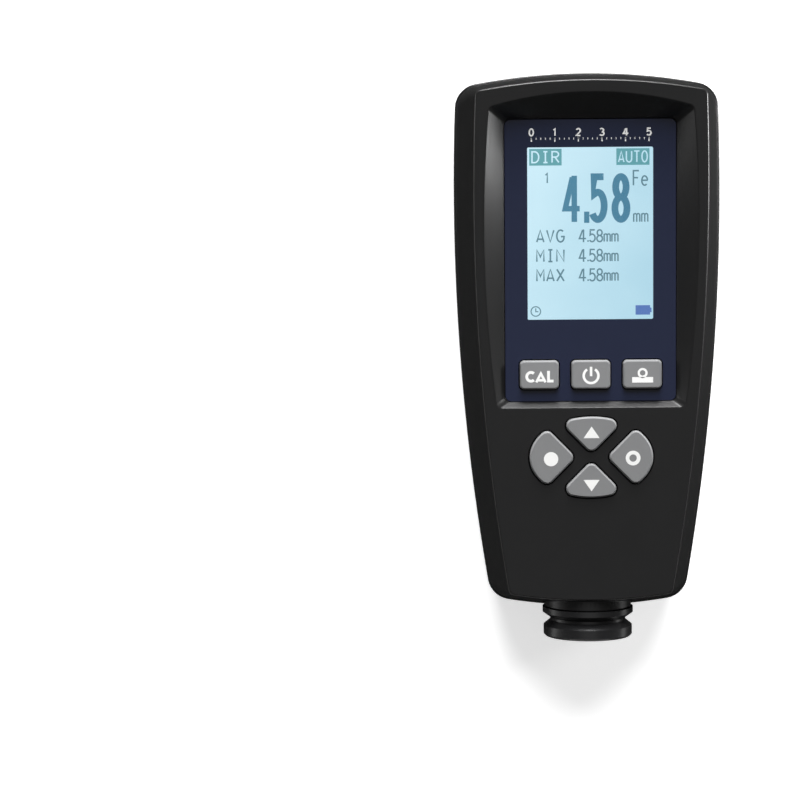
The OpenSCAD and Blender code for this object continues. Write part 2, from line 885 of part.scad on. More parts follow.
front_housing();
rear_housing();
battery_door();
display_panel();
display_window();
lcd_glass();
lcd_backlight();
lcd_frame();
main_board();
microcontroller();
board_screws();
case_screws();
keypad_mat();
panel_key_at(-1);  // key_cal
panel_key_at(0);  // key_power
panel_key_at(1);  // key_zero
cluster_key_at(0);  // key_up
cluster_key_at(180);  // key_down
cluster_key_at(270);  // key_left
cluster_key_at(90);  // key_right
probe_sleeve();
probe_cap();
probe_core();
probe_pin();
sensor_coil();
probe_spring();
battery_1();
battery_2();
contact_springs();
contact_plates();
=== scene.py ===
# %% [markdown]
# # A pocket gauge for coatings
# The object is a black moulded case with a deep, bevelled recess for its display, seven grey rubber keys
# and a turned probe at one end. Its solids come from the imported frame, at their real size and place, so
# this lesson only adds what a maker adds last: soft edges, finishes, printed marks, the picture on the
# display, and the light to see them by.

# %% The frame
import json
import math

import bpy
import numpy as np
from mathutils import Matrix, Vector


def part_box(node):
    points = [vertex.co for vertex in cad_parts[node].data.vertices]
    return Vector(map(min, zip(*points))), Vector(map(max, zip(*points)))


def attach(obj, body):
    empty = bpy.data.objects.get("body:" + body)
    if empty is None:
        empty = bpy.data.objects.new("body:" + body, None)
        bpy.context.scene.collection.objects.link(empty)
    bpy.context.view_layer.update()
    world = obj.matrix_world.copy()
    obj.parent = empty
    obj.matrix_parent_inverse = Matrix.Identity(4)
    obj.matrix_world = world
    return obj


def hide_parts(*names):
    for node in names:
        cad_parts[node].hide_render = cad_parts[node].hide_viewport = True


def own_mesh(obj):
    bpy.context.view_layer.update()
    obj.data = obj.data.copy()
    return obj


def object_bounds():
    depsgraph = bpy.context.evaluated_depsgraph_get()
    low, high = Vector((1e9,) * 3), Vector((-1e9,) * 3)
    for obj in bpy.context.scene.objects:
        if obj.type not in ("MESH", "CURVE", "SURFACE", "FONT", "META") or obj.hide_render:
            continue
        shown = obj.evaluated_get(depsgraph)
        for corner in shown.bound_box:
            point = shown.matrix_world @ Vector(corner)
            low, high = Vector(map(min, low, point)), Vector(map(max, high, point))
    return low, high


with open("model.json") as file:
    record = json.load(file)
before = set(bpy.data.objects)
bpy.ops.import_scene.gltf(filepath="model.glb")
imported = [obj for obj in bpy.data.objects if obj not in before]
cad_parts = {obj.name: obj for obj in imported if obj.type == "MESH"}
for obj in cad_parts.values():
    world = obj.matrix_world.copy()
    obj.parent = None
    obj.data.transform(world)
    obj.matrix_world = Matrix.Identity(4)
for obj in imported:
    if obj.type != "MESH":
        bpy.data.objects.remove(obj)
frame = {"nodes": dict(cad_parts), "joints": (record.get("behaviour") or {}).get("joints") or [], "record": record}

MM = 0.001
cad_low, cad_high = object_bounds()
nodes = frame["nodes"]
print("frame:", len(nodes), "nodes,", [round((b - a) / MM, 1) for a, b in zip(cad_low, cad_high)], "mm")

# %% [markdown]
# ## The camera
# The gauge lies on its back, so the camera looks down on the display. It leans a few degrees towards the
# display's top end and looks at a point well to the left of the gauge, which puts the gauge on the right
# of the picture, as in the photograph. A long lens keeps the perspective as weak as it is there.

# %% The camera
CAMERA_LEAN = math.radians(4.4)
CAMERA_ROLL = math.radians(0.45)
CAMERA_DISTANCE = 520 * MM
AIM = Vector((-38.2 * MM, cad_high.y - 65.8 * MM, 15 * MM))
LENS = 115.2
SENSOR = 36

back = Vector((0, math.sin(CAMERA_LEAN), math.cos(CAMERA_LEAN)))
level_right = Vector((1, 0, 0))
level_up = back.cross(level_right)
right = math.cos(CAMERA_ROLL) * level_right - math.sin(CAMERA_ROLL) * level_up
up = math.sin(CAMERA_ROLL) * level_right + math.cos(CAMERA_ROLL) * level_up

camera = bpy.data.objects.new("camera", bpy.data.cameras.new("camera"))
camera.data.lens = LENS
camera.data.sensor_width = SENSOR
camera.data.clip_start = 10 * MM
turned = Matrix((right, up, back)).transposed().to_4x4()
camera.matrix_world = Matrix.Translation(AIM + CAMERA_DISTANCE * back) @ turned
bpy.context.scene.collection.objects.link(camera)
bpy.context.scene.camera = camera
print("camera:", [round(x / MM) for x in camera.matrix_world.translation], "mm")

# %% [markdown]
# ## Shader maths as plain sums
# A finish is a small graph of nodes. Wiring nodes by hand takes many lines, so one class stands for a
# socket: adding, multiplying or comparing two of them adds the Math node that does it. Every other kind of
# node comes from one method, which takes its type, its settings and what goes into its sockets.

# %% A socket that can be added up
class Wire:
    """One output socket of a node tree, which answers to sums, products and comparisons."""

    def __init__(self, tree, socket):
        self.tree = tree
        self.socket = socket

    def node(self, kind, settings=None, sockets=None, out=0):
        """Adds a node: its settings first, then a value or a wire for each socket, by name or number."""
        made = self.tree.nodes.new(kind)
        for name, value in (settings or {}).items():
            setattr(made, name, value)
        for name, value in (sockets or {}).items():
            if isinstance(value, Wire):
                self.tree.links.new(value.socket, made.inputs[name])
            else:
                made.inputs[name].default_value = value
        return Wire(self.tree, made.outputs[out])

    def feed(self, socket):
        """Links this wire to an input socket."""
        self.tree.links.new(self.socket, socket)

    def maths(self, operation, *others):
        """A Math node with this wire in its first socket."""
        return self.node("ShaderNodeMath", {"operation": operation}, dict(enumerate((self, *others))))

    def __add__(self, other):
        return self.maths("ADD", other)

    def __sub__(self, other):
        return self.maths("SUBTRACT", other)

    def __rsub__(self, other):
        return self.node("ShaderNodeMath", {"operation": "SUBTRACT"}, {0: other, 1: self})

    def __mul__(self, other):
        return self.maths("MULTIPLY", other)

    def __truediv__(self, other):
        return self.maths("DIVIDE", other)

    def __gt__(self, other):
        return self.maths("GREATER_THAN", other)

    def __lt__(self, other):
        return self.maths("LESS_THAN", other)

    __radd__ = __add__
    __rmul__ = __mul__


# %% Helpers that every finish uses
def start(name):
    """A new material, its Principled shader, and a wire of Object coordinates, in metres in the frame."""
    material = bpy.data.materials.new(name)
    material.use_nodes = True
    tree = material.node_tree
    shader = tree.nodes["Principled BSDF"]
    place = Wire(tree, tree.nodes.new("ShaderNodeTexCoord").outputs["Object"])
    return material, shader, place


def opaque(rgb):
    """A colour with full alpha."""
    return (*rgb, 1)


def grains(place, size, detail=2):
    """Noise from 0 to 1 with grains of a size in metres."""
    return place.node("ShaderNodeTexNoise", {}, {"Vector": place, "Scale": 1 / size, "Detail": detail})


def blend(factor, dark, light):
    """A colour between two, by a wire from 0 to 1."""
    return factor.node("ShaderNodeMix", {"data_type": "RGBA"}, {0: factor, 6: dark, 7: light}, out=2)


def axis(place, number):
    """One of the place's three coordinates: 0 is X, 1 is Y and 2 is Z."""
    return place.node("ShaderNodeSeparateXYZ", {}, {0: place}, out=number)


def relief(shader, height, depth):
    """Turns a height from 0 to 1 into bumps of a depth in metres."""
    bump = height.node("ShaderNodeBump", {}, {"Height": height, "Distance": depth})
    bump.feed(shader.inputs["Normal"])


def set_sockets(shader, values):
    """Puts constants on a shader's own sockets, by name."""
    for name, value in values.items():
        shader.inputs[name].default_value = value


# %% [markdown]
# ## Moulded finishes
# Injection moulds are spark eroded, which leaves a fine grain in the plastic: it spreads the highlights and
# keeps black from looking flat. A moulded finish here is two close colours mixed by a coarse cloud, a
# roughness that wavers with the grain, and the grain itself as a relief a few microns deep. Rubber and
# printed plates differ only in numbers, so they share the function.

# %% A moulded finish
CLOUD = 30


def moulded(name, dark, light, grain, rough, depth, **sockets):
    """Two colours mixed by a cloud of CLOUD grains, and a fine grain that is the relief and makes the
    roughness waver about rough[0], by rough[1] from end to end."""
    material, shader, place = start(name)
    fine = grains(place, grain)
    cloud = grains(place, CLOUD * grain, 3)
    blend(cloud, opaque(dark), opaque(light)).feed(shader.inputs["Base Color"])
    (rough[0] + rough[1] * (fine - 0.5)).feed(shader.inputs["Roughness"])
    relief(shader, fine, depth)
    set_sockets(shader, sockets)
    return material


finishes = {
    "housing_black": moulded("housing_black", (0.0062, 0.0062, 0.0064), (0.0080, 0.0080, 0.0082),
                             0.22 * MM, (0.36, 0.10), 0.005 * MM, **{"Specular IOR Level": 0.45}),
    "panel_navy": moulded("panel_navy", (0.0078, 0.0112, 0.0295), (0.0088, 0.0124, 0.0325),
                          0.12 * MM, (0.48, 0.08), 0.002 * MM),
    "key_grey": moulded("key_grey", (0.172, 0.174, 0.177), (0.190, 0.192, 0.195),
                        0.18 * MM, (0.62, 0.10), 0.004 * MM),
    "mat_grey": moulded("mat_grey", (0.16, 0.16, 0.165), (0.19, 0.19, 0.195),
                        0.2 * MM, (0.6, 0.1), 0.004 * MM),
    "frame_dark": moulded("frame_dark", (0.012, 0.012, 0.013), (0.016, 0.016, 0.017),
                          0.2 * MM, (0.5, 0.1), 0.004 * MM),
    "chip_black": moulded("chip_black", (0.014, 0.014, 0.014), (0.02, 0.02, 0.02),
                          0.08 * MM, (0.5, 0.1), 0.003 * MM),
    "backlight_white": moulded("backlight_white", (0.80, 0.82, 0.83), (0.86, 0.87, 0.88),
                               0.3 * MM, (0.4, 0.05), 0.002 * MM),
}
print("moulded finishes:", sorted(finishes))

# %% [markdown]
# ## Turned and drawn metal
# The probe's sleeve, core and pin are turned on a lathe, which leaves fine rings round the axis. The axis is
# parallel to Y, so a wave along Y draws them on every turned piece at once. Springs, screws and plates are
# plain plated steel with a fine grain in the roughness.

# %% Turned and drawn finishes
SHAKE = 3


def lathe(name, dark, light, pitch, rough, depth, **sockets):
    """Fine rings of a pitch along Y: (1 + sin(2 pi y / pitch + SHAKE noise)) / 2 drives the colour, the
    roughness and the relief."""
    material, shader, place = start(name)
    angle = axis(place, 1) * (2 * math.pi / pitch) + SHAKE * grains(place, 4 * pitch)
    rings = 0.5 + 0.5 * angle.maths("SINE")
    blend(rings, opaque(dark), opaque(light)).feed(shader.inputs["Base Color"])
    (rough[0] + rough[1] * (rings - 0.5)).feed(shader.inputs["Roughness"])
    relief(shader, rings, depth)
    set_sockets(shader, sockets)
    return material


finishes |= {
    "probe_black": lathe("probe_black", (0.008, 0.008, 0.0085), (0.011, 0.011, 0.0115),
                         0.16 * MM, (0.30, 0.08), 0.0015 * MM),
    "core_brass": lathe("core_brass", (0.60, 0.44, 0.19), (0.68, 0.51, 0.24),
                        0.12 * MM, (0.28, 0.1), 0.001 * MM, Metallic=1.0),
    "pin_hard": lathe("pin_hard", (0.66, 0.66, 0.68), (0.74, 0.74, 0.76),
                      0.1 * MM, (0.16, 0.06), 0.0005 * MM, Metallic=1.0),
    "coil_copper": lathe("coil_copper", (0.40, 0.16, 0.06), (0.62, 0.30, 0.13),
                         0.2 * MM, (0.32, 0.1), 0.02 * MM, Metallic=1.0),
    "steel": moulded("steel", (0.50, 0.50, 0.52), (0.62, 0.62, 0.64),
                     0.15 * MM, (0.30, 0.14), 0.001 * MM, Metallic=1.0),
}
print("turned finishes added:", len(finishes), "in all")

# %% [markdown]
# ## The display's own finishes
# The display is a liquid crystal cell lit from behind, so its colour is light and not paint: a pale cyan
# that fades a little towards the lower right, cut up by the hair lines between its dots. Dark marks on it
# let less of that light through. The sight window over it is clear plastic, which bends the light and adds
# a reflection.

# %% Display finishes
window_low, window_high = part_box("display_window")
window_size = window_high - window_low
DOT = 0.21 * MM
DOT_GAP = 0.15
FADE_ACROSS = 0.55
FADE_DOWN = 0.30
FADE_CLOUD = 0.30
FADE_GAP = 0.07


def lit_cell(name, bright, dim):
    """Light that fades from bright to dim over the window, a little dimmer on the lines between dots."""
    material, shader, place = start(name)
    across = (axis(place, 0) - window_low.x) / window_size.x
    down = (window_high.y - axis(place, 1)) / window_size.y
    columns = (axis(place, 0) / DOT).maths("FRACT") < DOT_GAP
    rows = (axis(place, 1) / DOT).maths("FRACT") < DOT_GAP
    fade = FADE_ACROSS * across + FADE_DOWN * down + FADE_CLOUD * (grains(place, 8 * MM, 1) - 0.5)
    loss = fade + FADE_GAP * columns + FADE_GAP * rows
    blend(loss, opaque(bright), opaque(dim)).feed(shader.inputs["Emission Color"])
    set_sockets(shader, {"Base Color": opaque((0.02, 0.03, 0.03)), "Roughness": 0.3,
                         "Emission Strength": 1.0})
    return material


def clear_window(name):
    """Clear acrylic: light passes through and bends, and faint wear makes the gloss waver."""
    material, shader, place = start(name)
    (0.01 + 0.03 * grains(place, 3 * MM)).feed(shader.inputs["Roughness"])
    set_sockets(shader, {"Base Color": opaque((0.98, 0.99, 1.0)), "IOR": 1.49, "Transmission Weight": 1.0})
    return material


finishes |= {
    "lcd_pale": lit_cell("lcd_pale", (0.64, 0.89, 0.99), (0.40, 0.67, 0.80)),
    "mark_teal": lit_cell("mark_teal", (0.060, 0.240, 0.360), (0.030, 0.170, 0.290)),
    "mark_box": lit_cell("mark_box", (0.110, 0.370, 0.410), (0.080, 0.310, 0.360)),
    "mark_grey": lit_cell("mark_grey", (0.110, 0.240, 0.300), (0.080, 0.190, 0.250)),
    "mark_blue": lit_cell("mark_blue", (0.080, 0.190, 0.520), (0.070, 0.160, 0.460)),
    "window_clear": clear_window("window_clear"),
    "ink_white": moulded("ink_white", (0.70, 0.70, 0.69), (0.76, 0.76, 0.75),
                         0.08 * MM, (0.5, 0.1), 0.002 * MM),
}

# %% [markdown]
# ## Cells and circuit board
# Two small cells lie behind the battery door. A cell is a steel can in a printed sleeve: the sleeve stops
# short of both ends, and a pale band runs round it near each end. The board is green lacquer over copper
# tracks, which show through as slightly raised lighter lines.

# %% Cells and board
BARE_END = 1.6 * MM
BAND_OUTER = 6.5 * MM
BAND_INNER = 9 * MM
TRACK = 6 * MM


def cell_wrap(name, bay):
    """A printed sleeve with pale bands, by the distance of a point from the middle of the cells along Y."""
    material, shader, place = start(name)
    along = axis(place, 1) - (bay[0].y + bay[1].y) / 2
    half = (bay[1].y - bay[0].y) / 2
    away = along.maths("ABSOLUTE")
    bare = away > half - BARE_END
    band = (away > half - BAND_INNER) * (away < half - BAND_OUTER)
    sleeve = blend(band, opaque((0.020, 0.075, 0.190)), opaque((0.52, 0.54, 0.56)))
    blend(bare, sleeve, opaque((0.56, 0.56, 0.58))).feed(shader.inputs["Base Color"])
    bare.feed(shader.inputs["Metallic"])
    (0.22 + 0.10 * grains(place, 0.5 * MM)).feed(shader.inputs["Roughness"])
    return material


def lacquered_board(name):
    """Green lacquer, lighter and raised over tracks that a brick pattern lays out."""
    material, shader, place = start(name)
    tracks = place.node("ShaderNodeTexBrick", {"offset": 0.37},
                        {"Vector": place, "Scale": 1 / TRACK, "Mortar Size": 0.05}, out=1)
    lacquer = blend(tracks, opaque((0.010, 0.075, 0.030)), opaque((0.030, 0.150, 0.055)))
    lacquer.feed(shader.inputs["Base Color"])
    (0.24 + 0.12 * grains(place, 0.6 * MM)).feed(shader.inputs["Roughness"])
    relief(shader, tracks, 0.03 * MM)
    return material


finishes |= {
    "cell_wrap": cell_wrap("cell_wrap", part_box("battery_1")),
    "board_green": lacquered_board("board_green"),
}
print("finishes:", len(finishes))

# %% [markdown]
# ## Soft edges on the solids
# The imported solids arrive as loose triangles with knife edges, and no moulded edge is that sharp. Modifiers
# on each node mend that without touching its mesh. Weld joins the triangles. On the pieces whose edges catch
# the light, Decimate melts flat triangles into one face, a small node group marks the steep edges, all but
# the fine bead along the parting line, and Bevel rounds what is marked by the radius that the process leaves.
# A second node group then shades smoothly over every edge that is flatter than an angle, and Weighted Normal
# keeps the broad faces flat. The alternative, new shells, would only repeat the solids.

# %% Weld, bevel and smooth shading
SHARP = math.radians(32)
FLAT = math.radians(0.05)
WELD = 0.001 * MM
BEVEL_STEPS = 3
FACE_WEIGHT = 100
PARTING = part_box("front_housing")[0].z
BEAD_ZONE = 0.6 * MM


def mesh_group(name):
    """An empty node group for a modifier, and the mesh that enters it."""
    group = bpy.data.node_groups.new(name, "GeometryNodeTree")
    for flow in ("INPUT", "OUTPUT"):
        group.interface.new_socket("Geometry", in_out=flow, socket_type="NodeSocketGeometry")
    return group, Wire(group, group.nodes.new("NodeGroupInput").outputs[0])


def marking_group():
    """A node group that marks each edge steeper than SHARP for the bevel, but leaves out the fine bead along
    the parting line, whose facets are narrow."""
    group, solid = mesh_group("edge_marks")
    angle = solid.node("GeometryNodeInputMeshEdgeAngle")
    height = axis(solid.node("GeometryNodeInputPosition"), 2)
    steep = (angle > SHARP) * ((height - PARTING).maths("ABSOLUTE") > BEAD_ZONE)
    marked = solid.node("GeometryNodeStoreNamedAttribute", {"domain": "EDGE", "data_type": "FLOAT"},
                        {"Geometry": solid, "Name": "bevel_weight_edge", "Value": steep})
    marked.feed(group.nodes.new("NodeGroupOutput").inputs[0])
    return group


def shading_group():
    """A node group that drops stored normals and keeps only edges steeper than SHARP as creases."""
    group, solid = mesh_group("soft_shading")
    angle = solid.node("GeometryNodeInputMeshEdgeAngle")
    crease = angle.node("FunctionNodeCompare", {"operation": "GREATER_THAN"}, {0: angle, 1: SHARP})
    shaded = solid.node("GeometryNodeSetMeshNormal", {"mode": "SHARPNESS"},
                        {"Mesh": solid, "Edge Sharpness": crease})
    shaded.feed(group.nodes.new("NodeGroupOutput").inputs[0])
    return group


def soften(node, radius):
    """Welds a node's triangles, rounds its sharp edges by a radius, and shades it smoothly."""
    weld = node.modifiers.new("weld", "WELD")
    weld.merge_threshold = WELD
    if radius:
        flat = node.modifiers.new("flat", "DECIMATE")
        flat.decimate_type = "DISSOLVE"
        flat.angle_limit = FLAT
        node.modifiers.new("marks", "NODES").node_group = edge_marks
        edge = node.modifiers.new("edge", "BEVEL")
        edge.width = radius
        edge.segments = BEVEL_STEPS
        edge.limit_method = "WEIGHT"
        edge.use_clamp_overlap = False
    node.modifiers.new("shading", "NODES").node_group = soft_shading
    even = node.modifiers.new("even", "WEIGHTED_NORMAL")
    even.weight = FACE_WEIGHT
    even.keep_sharp = True


edge_marks = marking_group()
soft_shading = shading_group()
# The radii of rounded edges, in mm. Nodes that aren't named here keep the edges of their solids.
EDGES = {"key_cal": 0.14, "key_power": 0.14, "key_zero": 0.14, "battery_door": 0.15, "front_housing": 0.2}
for row in frame["record"]["subparts"]:
    node = nodes[row["node"]]
    soften(node, EDGES.get(node.name, 0) * MM)
    node.material_slots[0].material = finishes[row["material_slot"]]
print("softened and finished:", len(nodes), "nodes")

# %% [markdown]
# ## The spring that gives way
# When the probe is pushed in, its spring gets shorter, which a solid node can't show. So a coil of the same
# size is swept here from the node's own box. It stands for the node, which is hidden, and keeps its full
# length.

# %% The probe's spring
WIRE_R = 0.34 * MM
WIRE_SIDES = 12
TURNS = 3
TURN_STEPS = 40
END_GAP = 1.1 * WIRE_R


def coil(low, high):
    """A round wire along a helix about Y, inside a box. At the helix's angle a and the wire's angle b, a
    point lies radius + WIRE_R cos b from the axis and END_GAP + rise + WIRE_R sin b from the box's low end,
    where the rise grows evenly with a."""
    radius = (high.x - low.x) / 2 - WIRE_R
    middle = (low + high) / 2
    along = np.linspace(0, 2 * math.pi * TURNS, TURN_STEPS * TURNS + 1)
    around = np.arange(WIRE_SIDES) * 2 * math.pi / WIRE_SIDES
    a, b = np.meshgrid(along, around, indexing="ij")
    rise = (high.y - low.y - 2 * END_GAP) * a / a.max()
    reach = radius + WIRE_R * np.cos(b)
    y = low.y + END_GAP + rise + WIRE_R * np.sin(b)
    points = np.stack([middle.x + reach * np.cos(a), y, middle.z + reach * np.sin(a)], -1)
    n, m = a.shape
    i, j = np.meshgrid(np.arange(n - 1), np.arange(m), indexing="ij")
    k = (j + 1) % m
    quads = np.stack([m * i + j, m * i + k, m * (i + 1) + k, m * (i + 1) + j], -1)
    ends = [list(range(m))[::-1], list(range(m * (n - 1), m * n))]
    return points.reshape(-1, 3), quads.reshape(-1, 4).tolist() + ends


def new_piece(name, points, faces, finish):
    """A mesh object of points in metres and faces, with one finish."""
    mesh = bpy.data.meshes.new(name)
    mesh.from_pydata(points, [], faces)
    mesh.materials.append(finish)
    piece = bpy.data.objects.new(name, mesh)
    bpy.context.scene.collection.objects.link(piece)
    return piece


spring_low, spring_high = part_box("probe_spring")
points, faces = coil(spring_low, spring_high)
spring = new_piece("plunger_spring", points, faces, finishes["steel"])
spring.data.shade_smooth()
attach(spring, "housing")
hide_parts("probe_spring")
travel = next(joint["range_m"][1] for joint in frame["joints"] if joint["name"] == "probe_plunge")
1 - travel / (spring_high.y - spring_low.y)
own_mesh(spring)
print("spring:", len(faces), "faces")

# %% [markdown]
# ## Printed marks
# Legends on keys and marks on a display are all flat and of even weight, as a pen draws them. So one
# function carries a flat rectangle along a path, and letters, rings and icons are only paths. Solid marks,
# such as a triangle, are an outline lifted by the thickness of the ink. Fonts were left aside, because a pen
# path has one weight and sits well at two millimetres high.

# %% Ribbons and plates
INK = 0.04
LEAST_SPREAD = 0.45


def ribbon(path, weight, sheet, lift=0):
    """A rectangle carried along a flat path, in mm. Each point's two edges lie along the mitre of the lines
    that meet there: weight / 2 times (n1 + n2) / (1 + n1 . n2), where n1 and n2 are their normals and
    LEAST_SPREAD keeps sharp corners short. The section's floor and roof follow the sheet's height plus a
    lift, which keeps strokes that cross from lying in one plane."""
    closed = np.allclose(path[0], path[-1])
    spine = path[:-1] if closed else path
    ahead = np.roll(spine, -1, 0) - spine
    normal = np.stack([-ahead[:, 1], ahead[:, 0]], 1) / np.linalg.norm(ahead, axis=1, keepdims=True)
    before = np.roll(normal, 1, 0)
    if not closed:
        normal[-1] = before[-1]
        before[0] = normal[0]
    spread = np.maximum(1 + (before * normal).sum(1, keepdims=True), LEAST_SPREAD)
    mitre = (before + normal) / spread * weight / 2
    flat = np.stack([spine + mitre, spine - mitre, spine - mitre, spine + mitre], 1)
    height = sheet(flat) + lift + np.array([-INK, -INK, INK, INK]) / 2
    points = np.concatenate([flat, height[..., None]], 2).reshape(-1, 3)
    n = len(spine)
    i, j = np.meshgrid(np.arange(n if closed else n - 1), np.arange(4), indexing="ij")
    k, m = (i + 1) % n, (j + 1) % 4
    faces = np.stack([4 * i + j, 4 * k + j, 4 * k + m, 4 * i + m], -1).reshape(-1, 4).tolist()
    if not closed:
        faces += [[0, 1, 2, 3], [4 * n - 1, 4 * n - 2, 4 * n - 3, 4 * n - 4]]
    return points, faces


def plate(outline, sheet):
    """A flat outline, in mm and counter-clockwise, lifted by the thickness of the ink."""
    n = len(outline)
    height = sheet(outline)
    points = np.concatenate([np.column_stack([outline, height + lift]) for lift in (-INK / 2, INK / 2)])
    i = np.arange(n)
    k = (i + 1) % n
    faces = np.stack([i, k, k + n, i + n], 1).tolist() + [i[::-1].tolist(), (i + n).tolist()]
    return points, faces


def printed(name, body, finish, solids):
    """One piece of many ribbons and plates, riding on a body."""
    firsts = np.cumsum([0] + [len(points) for points, _ in solids])
    points = np.concatenate([points for points, _ in solids]) * MM
    faces = [(np.array(face) + first).tolist() for first, (_, part) in zip(firsts, solids) for face in part]
    piece = new_piece(name, points, faces, finishes[finish])
    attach(piece, body)
    print("printed", name, len(faces), "faces")


# %% Paths
BOW_STEP = 9


def line(*points):
    """A path of straight lines through points."""
    return np.array(points, float)


def bow(x, y, rx, ry, first, last):
    """An arc of an ellipse about (x, y), from one angle to another in degrees."""
    angle = np.radians(np.linspace(first, last, 3 + int(abs(last - first) / BOW_STEP)))
    return np.stack([x + rx * np.cos(angle), y + ry * np.sin(angle)], 1)


def joined(*paths):
    """One path through several, end to end."""
    return np.concatenate(paths)


CELL = 0.6
LIFT = 0.01
# Each glyph is a list of pen paths in a cell about CELL wide and 1 high.
GLYPHS = {
    "0": [bow(0.3, 0.5, 0.3, 0.5, 90, 450)],
    "1": [line((0.1, 0.8), (0.32, 1), (0.32, 0))],
    "2": [joined(bow(0.3, 0.72, 0.28, 0.28, 165, -30), line((0, 0), (0.6, 0)))],
    "3": [bow(0.27, 0.75, 0.27, 0.25, 150, -90), bow(0.27, 0.25, 0.33, 0.25, 90, -150)],
    "4": [line((0.45, -0.04), (0.45, 1.04)), line((0.36, 1.0), (0.0, 0.27), (0.72, 0.27))],
    "5": [joined(line((0.56, 1), (0.08, 1), (0.05, 0.56)), bow(0.27, 0.32, 0.32, 0.32, 105, -145))],
    "8": [bow(0.3, 0.76, 0.26, 0.24, -90, 270), bow(0.3, 0.26, 0.3, 0.26, 90, 450)],
    "A": [line((0, 0), (0.3, 1), (0.6, 0)), line((0.1, 0.24), (0.5, 0.24))],
    "C": [bow(0.34, 0.5, 0.34, 0.5, 48, 312)],
    "D": [joined(line((0.22, 1), (0, 1), (0, 0)), bow(0.22, 0.5, 0.38, 0.5, -90, 90))],
    "F": [line((0.55, 1), (0, 1), (0, 0)), line((0, 0.52), (0.45, 0.52))],
    "G": [joined(bow(0.32, 0.5, 0.32, 0.5, 50, 330), line((0.62, 0.45), (0.36, 0.45)))],
    "I": [line((0.3, 0), (0.3, 1)), line((0.12, 1), (0.48, 1)), line((0.12, 0), (0.48, 0))],
    "L": [line((0.05, 1), (0.05, 0), (0.55, 0))],
    "M": [line((0, 0), (0, 1), (0.3, 0.4), (0.6, 1), (0.6, 0))],
    "N": [line((0, 0), (0, 1), (0.6, 0), (0.6, 1))],
    "O": [bow(0.3, 0.5, 0.3, 0.5, 90, 450)],
    "R": [joined(line((0, 0), (0, 1), (0.3, 1)), bow(0.3, 0.75, 0.27, 0.25, 80, -90), line((0, 0.5))),
          line((0.25, 0.5), (0.6, 0))],
    "T": [line((0, 1), (0.6, 1)), line((0.3, 1), (0.3, 0))],
    "U": [joined(line((0, 1)), bow(0.3, 0.3, 0.3, 0.3, 180, 360), line((0.6, 1)))],
    "V": [line((0, 1), (0.3, 0), (0.6, 1))],
    "X": [line((0, 0), (0.6, 1)), line((0, 1), (0.6, 0))],
    "e": [joined(line((0.02, 0.34), (0.56, 0.34)), bow(0.29, 0.32, 0.28, 0.32, 0, 315))],
    "m": [line((0, 0), (0, 0.66)), joined(bow(0.15, 0.5, 0.15, 0.15, 180, 0), line((0.3, 0))),
          joined(bow(0.45, 0.5, 0.15, 0.15, 180, 0), line((0.6, 0)))],
    ".": [line((0.1, 0), (0.1, 0.12))],
}


def lettering(text, left, base, height, width, pitch, weight, sheet):
    """A line of characters, in mm: each glyph's paths stretched to a height and a width, a pitch apart. Each
    further stroke of a glyph lies LIFT above the one before."""
    scale = np.array([width / CELL, height])
    return [
        ribbon(np.array([left + k * pitch, base]) + path * scale, weight, sheet, LIFT * n)
        for k, glyph in enumerate(text)
        for n, path in enumerate(GLYPHS[glyph])
    ]


# %% [markdown]
# ## Legends on the keys
# The keys carry white ink: a word, a power mark and a zero mark on the upper row, and arrows, a dot and a
# ring on the cluster. The cluster's keys follow the front face, which falls towards the probe, so the ink's
# sheet has that slope there. Each legend rides on its own key.

# %% Key legends
FRONT_SLOPE = 4.2 / 108.5
KEY_RIM = 0.5
KEY_EDGE = 0.3


def key_top(name, slope):
    """The middle of a key in mm, and its top as a sheet: high z + slope (y - the upper end of its top)."""
    low, high = (np.array(corner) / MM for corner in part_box(name))
    upper_end = high[1] - KEY_RIM - KEY_EDGE
    return (low + high)[:2] / 2, lambda flat: high[2] + slope * (flat[..., 1] - upper_end)


def ring(x, y, outer, weight):
    """A circle for a ribbon of a weight whose outer edge has the outer radius."""
    return bow(x, y, outer - weight / 2, outer - weight / 2, 0, 360)


def legend(key, solids):
    """White ink on one key."""
    printed("legend_" + key, "key_" + key, "ink_white", solids)


# The letters of the word: left edge and base from the key's middle, height, width and weight, in mm.
CAL = {"C": (-2.55, -1.2, 1.75, 1.5, 0.56), "A": (-0.65, -1.45, 1.75, 1.84, 0.5),
       "L": (1.7, -1.2, 2.03, 1.2, 0.56)}
mid, sheet = key_top("key_cal", 0)
letters = [lettering(glyph, mid[0] + x, mid[1] + base, height, width, 0, weight, sheet)
           for glyph, (x, base, height, width, weight) in CAL.items()]
legend("cal", sum(letters, []))

POWER_WEIGHT = 0.5
mid, sheet = key_top("key_power", 0)
legend("power", [ribbon(bow(mid[0], mid[1] - 0.2, 1.47, 1.47, 122, 418), POWER_WEIGHT, sheet),
                 ribbon(line((0, -0.3), (0, 1.6)) + mid, POWER_WEIGHT, sheet)])

ZERO_WEIGHT = 0.45
mid, sheet = key_top("key_zero", 0)
legend("zero", [ribbon(ring(mid[0], mid[1] + 0.28, 1.0, ZERO_WEIGHT), ZERO_WEIGHT, sheet),
                ribbon(line((-2.1, -1.1), (2.1, -1.1)) + mid, 1.1, sheet)])

cluster = (key_top("key_up", 0)[0] + key_top("key_down", 0)[0]) / 2
ARROWS = {"up": [(-1.6, 3.88), (1.6, 3.88), (0, 6.22)], "down": [(1.6, -4.55), (-1.6, -4.55), (0, -6.85)]}
for side, corners in ARROWS.items():
    sheet = key_top("key_" + side, FRONT_SLOPE)[1]
    legend(side, [plate(line(*corners) + cluster, sheet)])

